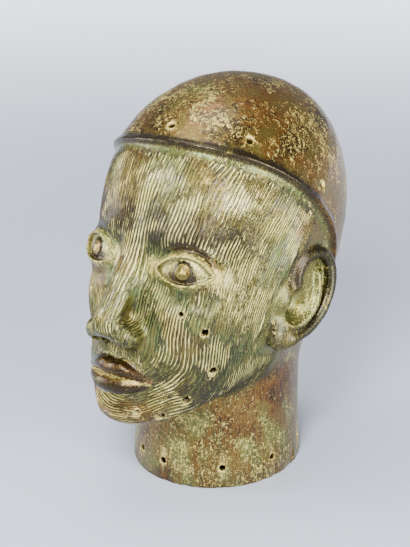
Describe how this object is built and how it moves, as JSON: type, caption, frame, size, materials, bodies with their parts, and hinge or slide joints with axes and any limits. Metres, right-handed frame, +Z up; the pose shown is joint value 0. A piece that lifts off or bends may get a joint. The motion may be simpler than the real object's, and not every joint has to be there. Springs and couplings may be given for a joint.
{
  "type": "ife head",
  "caption": "Hollow cast bronze head on its own neck: calm striated face, smooth skull-cap with a raised rim, small nail holes, standing on the neck's open foot.",
  "frame": {"origin": "centre of the bounding box's underside, on the surface that the neck's foot stands on", "axes": "+Z up, the face looks along -Y, the head's left ear is on +X"},
  "size_m": [0.1796, 0.2362, 0.29],
  "materials": {
    "bronze": "brown patinated bronze with green verdigris, pale deposit in the grooves and polished high spots"
  },
  "bodies": {
    "root": {"head": "bronze"}
  },
  "joints": []
}
